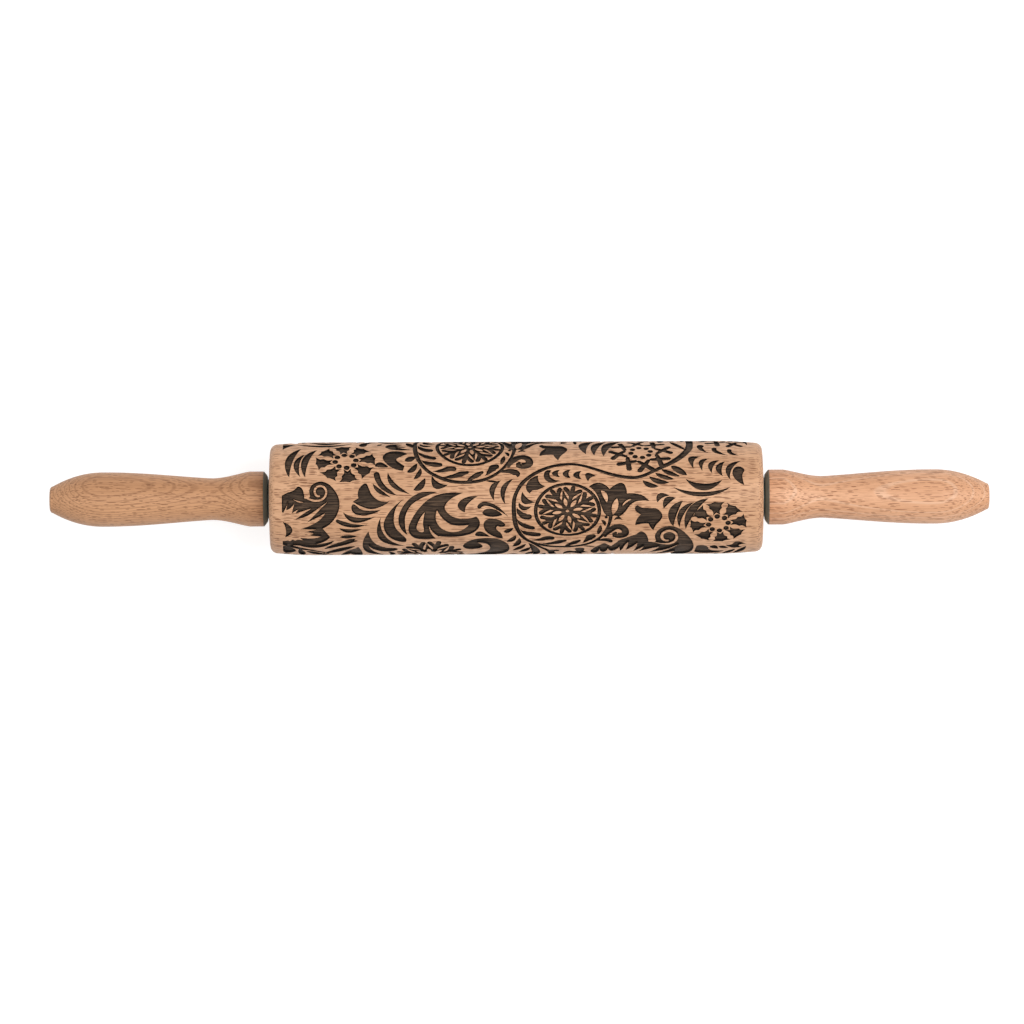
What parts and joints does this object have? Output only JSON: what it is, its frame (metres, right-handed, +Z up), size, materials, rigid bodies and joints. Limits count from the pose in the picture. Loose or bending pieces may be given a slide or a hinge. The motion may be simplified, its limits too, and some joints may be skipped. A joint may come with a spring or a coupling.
{
  "type": "engraved rolling pin",
  "caption": "Rolling pin: an engraved beech barrel that turns freely on a steel axle between turned beech handles with dark tapered collars.",
  "frame": {"origin": "the middle of the barrel's length, on the axle's centre line", "axes": "+X along the axle towards the longer handle, +Z up when the pin lies on a table, +Y away from the user"},
  "size_m": [0.43, 0.0516, 0.0516],
  "materials": {
    "barrel_beech": "bare sanded beech, laser engraved",
    "handle_beech": "bare sanded beech",
    "collar_plastic": "satin",
    "bush_plastic": "satin",
    "washer_black": "smooth",
    "axle_steel": "ground bar"
  },
  "bodies": {
    "handle_set": {"axle": "axle_steel", "handle_left": "handle_beech", "handle_right": "handle_beech", "collar_left": "collar_plastic", "collar_right": "collar_plastic", "thrust_washer_left": "washer_black", "thrust_washer_right": "washer_black"},
    "roller": {"barrel": "barrel_beech", "bush_left": "bush_plastic", "bush_right": "bush_plastic"}
  },
  "joints": [
    {"name": "roller_spin", "type": "hinge", "parent": "handle_set", "child": "roller", "pos_m": [0, 0, 0], "axis": [1, 0, 0], "continuous": true}
  ]
}
